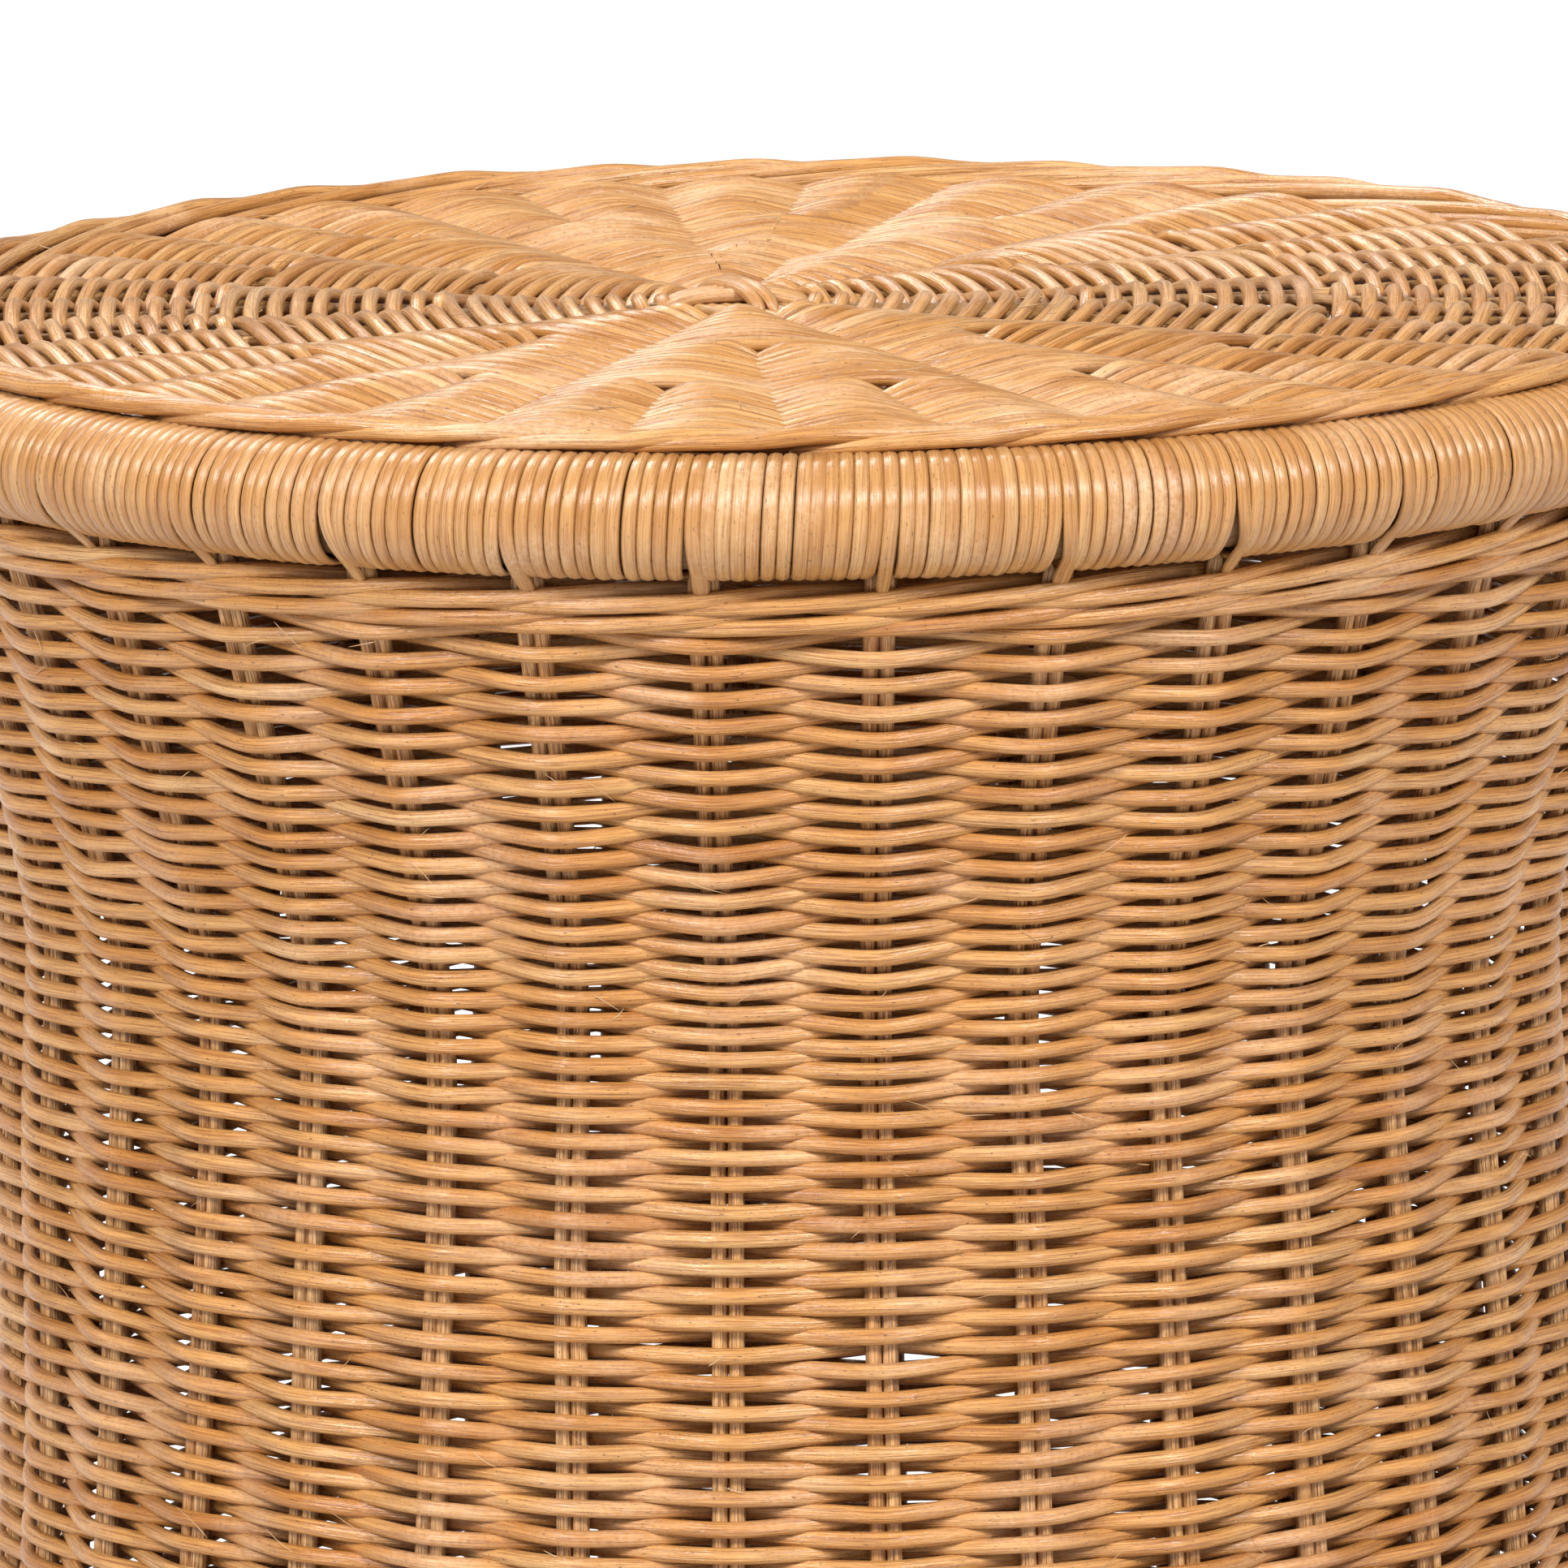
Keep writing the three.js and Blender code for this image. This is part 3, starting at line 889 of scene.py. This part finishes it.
# ================================================================ lid
def lid():
    """The lid's weave, its long rods and the lashing of its hub."""
    disc_weave(SPOKE_PLANE, LID_WEAVE_RADIUS, HUB_OFFSET, LID_PITCH, "lid", "lid_weave")
    for i, path in enumerate(disc_rods(SPOKE_PLANE, LID_WEAVE_RADIUS, HUB_OFFSET)):
        strands = Strands()
        tone = random_tone(0.6, 0.2)
        strands.add(path, UP, LID_SPOKE, LID_SPOKE, tone, sides=8)
        node = f"lid_rod_{i + 1:02d}"
        strands.piece(f"rod_{i + 1:02d}", ROD_LOOK_PAINTED_LIGHTER, "rattan_stake", "lid", node)
    hub_lashing()


def hub_lashing():
    """Short reeds bound over the crossing of the rods, one set across the other."""
    strands = Strands()
    top = SPOKE_PLANE + 1.3 + LID_SPOKE + LID_WEAVER
    lower = (94, (-4.4, -1.4, 1.6), 17, 0.0)  # direction in degrees, offsets, half length, lift
    upper = (30, (-1.5, 1.5), 15, 1.6)
    for turn, offsets, reach, lift in (lower, upper):
        along, across = around(math.radians(turn - 90)), outward(math.radians(turn + 90))
        for offset in offsets:
            t = np.linspace(-1, 1, 22)
            path = np.array([HUB_OFFSET, 0, 0]) + along * (reach * t)[:, None]
            path = path + across * (offset + rng.normal(0, 0.2))
            path[:, 2] = top + lift - (3.4 + lift) * np.abs(t) ** 3
            strands.add(path, UP, LID_WEAVER, LID_WEAVER, rng.uniform(0.3, 0.7), sides=8)
    strands.piece("lid_hub_lashing", LID_LOOK, "rattan_weaver", "lid", "lid_weave")


# One strand of the border: how far along it is, in spokes, with its radius and its height.
BORDER_RUN = [
    [-0.60, 196.0, 511.4],
    [-0.25, 198.6, 512.9],
    [0.10, 199.9, 513.9],
    [0.45, 199.8, 514.3],
    [0.80, 198.9, 515.3],
    [1.15, 197.3, 514.9],
    [1.50, 195.6, 514.6],
    [1.85, 193.9, 514.0],
    [2.20, 192.3, 513.3],
    [2.60, 190.5, 512.5],
    [3.00, 188.8, 511.6],
    [3.40, 187.2, 510.4],
]


def lid_border():
    """Each spoke end comes up over the rim, runs along it over the next ones and tucks in."""
    strands = Strands()
    for i in range(STAKES):
        t = np.linspace(0, 1, 46)
        du, radius, z = through(BORDER_RUN, t).T
        radius = radius + rng.normal(0, 0.3)
        z = z + rng.normal(0, 0.12)
        angle = stake_angle(i + du + rng.normal(0, 0.08))
        path = outward(angle) * radius[:, None]
        path[:, 2] = z
        normal = UP + 0.4 * outward(angle)
        taper = np.interp(t, [0, 0.2, 0.36, 0.75, 1], [1.3, 1.8, 2.1, 1.9, 1.5])
        size = rng.normal(1, 0.05) * taper
        tone = random_tone(0.5, 0.13)
        strands.add(path, normal, size, size * 0.95, tone, sides=10)
    strands.piece("lid_border_strands", LID_LOOK, "rattan_weaver", "lid", "lid_border")


# ================================================================ loose fibres
def loose_fibres():
    """Fine splinters that have lifted off the weave, on the outside of the wall and on the lid."""
    wall, top = Strands(), Strands()
    for _ in range(WALL_SPLINTERS):
        angle, z = rng.uniform(0, 2 * math.pi), rng.uniform(FOOT_HEIGHT + 14, WEAVE_TOP)
        start = wall_point(angle, z, STAKE_REED + WEAVER + rng.uniform(0.2, 1.6))
        along = around(angle) * rng.choice([-1, 1]) + np.array([0, 0, rng.normal(0, 0.5)])
        fibre_curl(wall, start, along, wall_normal(angle, z))
    wall.piece("wall_fibres", HAIR_LOOK, "rattan_weaver", "hamper", "side_weave")
    for _ in range(LID_SPLINTERS):
        angle, radius = rng.uniform(0, 2 * math.pi), 195 * math.sqrt(rng.uniform(0.02, 1))
        start = outward(angle) * radius
        start[2] = SPOKE_PLANE + LID_SPOKE + LID_WEAVER + rng.uniform(0.2, 1.2)
        along = around(angle) * rng.choice([-1, 1]) + outward(angle) * rng.normal(0, 0.6)
        fibre_curl(top, start, along, UP)
    top.piece("lid_fibres", HAIR_LOOK, "rattan_weaver", "lid", "lid_weave")


def fibre_curl(strands, start, along, up):
    """One splinter, lifted at its far end and tapering."""
    length = rng.uniform(3, 9)
    t = np.linspace(0, 1, 9)[:, None]
    bow = np.cross(along, up) * rng.normal(0, 0.25) * t**2
    path = start + length * (along * t + up * rng.uniform(0.02, 0.22) * t**2 + bow)
    taper = np.linspace(1, 0.35, 9) * rng.uniform(0.10, 0.19)
    strands.add(path, up, taper, taper, rng.uniform(0, 1), sides=4)


# ================================================================ stage
FLOOR_HALF = 9.0  # in metres, as are all sizes of the stage
BACKDROP_HEIGHT = 12.0
BACKDROP_SIDES = 64


def set_piece(name, corners, faces):
    """A piece of the set with a material of its own, and that material's shader."""
    mesh = bpy.data.meshes.new(name)
    mesh.from_pydata(corners, [], faces)
    made = bpy.data.objects.new(name, mesh)
    bpy.context.scene.collection.objects.link(made)
    material = bpy.data.materials.new(name)
    material.use_nodes = True
    mesh.materials.append(material)
    return made, material.node_tree.nodes["Principled BSDF"]


def stage():
    """A plain pale floor, the white wall round it and an even white sky."""
    half = FLOOR_HALF
    corners = [(-half, -half, 0), (half, -half, 0), (half, half, 0), (-half, half, 0)]
    floor, shader = set_piece("floor", corners, [(0, 1, 2, 3)])
    shader.inputs["Base Color"].default_value = (0.62, 0.62, 0.62, 1)
    shader.inputs["Roughness"].default_value = 0.9

    backdrop()

    world = bpy.data.worlds.new("studio")
    world.use_nodes = True
    background = world.node_tree.nodes["Background"]
    background.inputs["Color"].default_value = (1, 1, 1, 1)
    background.inputs["Strength"].default_value = 0.40
    bpy.context.scene.world = world


def backdrop():
    """A plain white wall round the floor, which neither lights nor shades anything."""
    sides = BACKDROP_SIDES
    turn = np.arange(sides) * 2 * math.pi / sides
    foot_ring = [(FLOOR_HALF * math.cos(a), FLOOR_HALF * math.sin(a), 0) for a in turn]
    top_ring = [(x, y, BACKDROP_HEIGHT) for x, y, _ in foot_ring]
    faces = [(i, (i + 1) % sides, sides + (i + 1) % sides, sides + i) for i in range(sides)]
    wall, shader = set_piece("backdrop", foot_ring + top_ring, faces)
    wall.visible_diffuse = wall.visible_glossy = wall.visible_shadow = False
    wall.visible_transmission = wall.visible_volume_scatter = False
    shader.inputs["Base Color"].default_value = (0, 0, 0, 1)
    shader.inputs["Emission Color"].default_value = (1, 1, 1, 1)
    shader.inputs["Emission Strength"].default_value = 1.0


def soft_sun(name, azimuth, elevation, strength, spread):
    """A wide soft light from far away: azimuth from the front towards +X, all angles in degrees."""
    data = bpy.data.lights.new(name, "SUN")
    data.energy = strength
    data.angle = math.radians(spread)
    light = bpy.data.objects.new(name, data)
    light.rotation_euler = Euler((math.radians(90 - elevation), 0, math.radians(azimuth)))
    bpy.context.scene.collection.objects.link(light)


# ---- the camera, in metres and radians, lens and sensor in millimetres ----
SENSOR = 36
LENS = 273.35403
SIDE_SHIFT = -0.0135
CAMERA_PLACE = (0, -2.6, 0.907)
LOOKS_DOWN = math.radians(10.94)
ROLL = math.radians(-0.71)


def camera():
    """The photograph's view: from far off, looking a little down."""
    data = bpy.data.cameras.new("camera")
    data.sensor_width = SENSOR
    data.lens = LENS
    data.shift_x = SIDE_SHIFT
    view = bpy.data.objects.new("camera", data)
    view.location = CAMERA_PLACE
    down = Euler((math.pi / 2 - LOOKS_DOWN, 0, 0)).to_matrix()
    view.rotation_euler = (down @ Euler((0, 0, ROLL)).to_matrix()).to_euler()
    bpy.context.scene.collection.objects.link(view)
    bpy.context.scene.camera = view


stakes()
body_weave()
wales()
rim_hoop()
rim_wraps()
foot()
base()
lid()
lid_border()
loose_fibres()

stage()
soft_sun("left", azimuth=-41, elevation=36, strength=2.70, spread=16)
soft_sun("right", azimuth=37, elevation=39, strength=2.70, spread=15)
soft_sun("behind", azimuth=-152, elevation=47, strength=1.5, spread=16)
camera()
bpy.context.scene.view_settings.view_transform = "Standard"
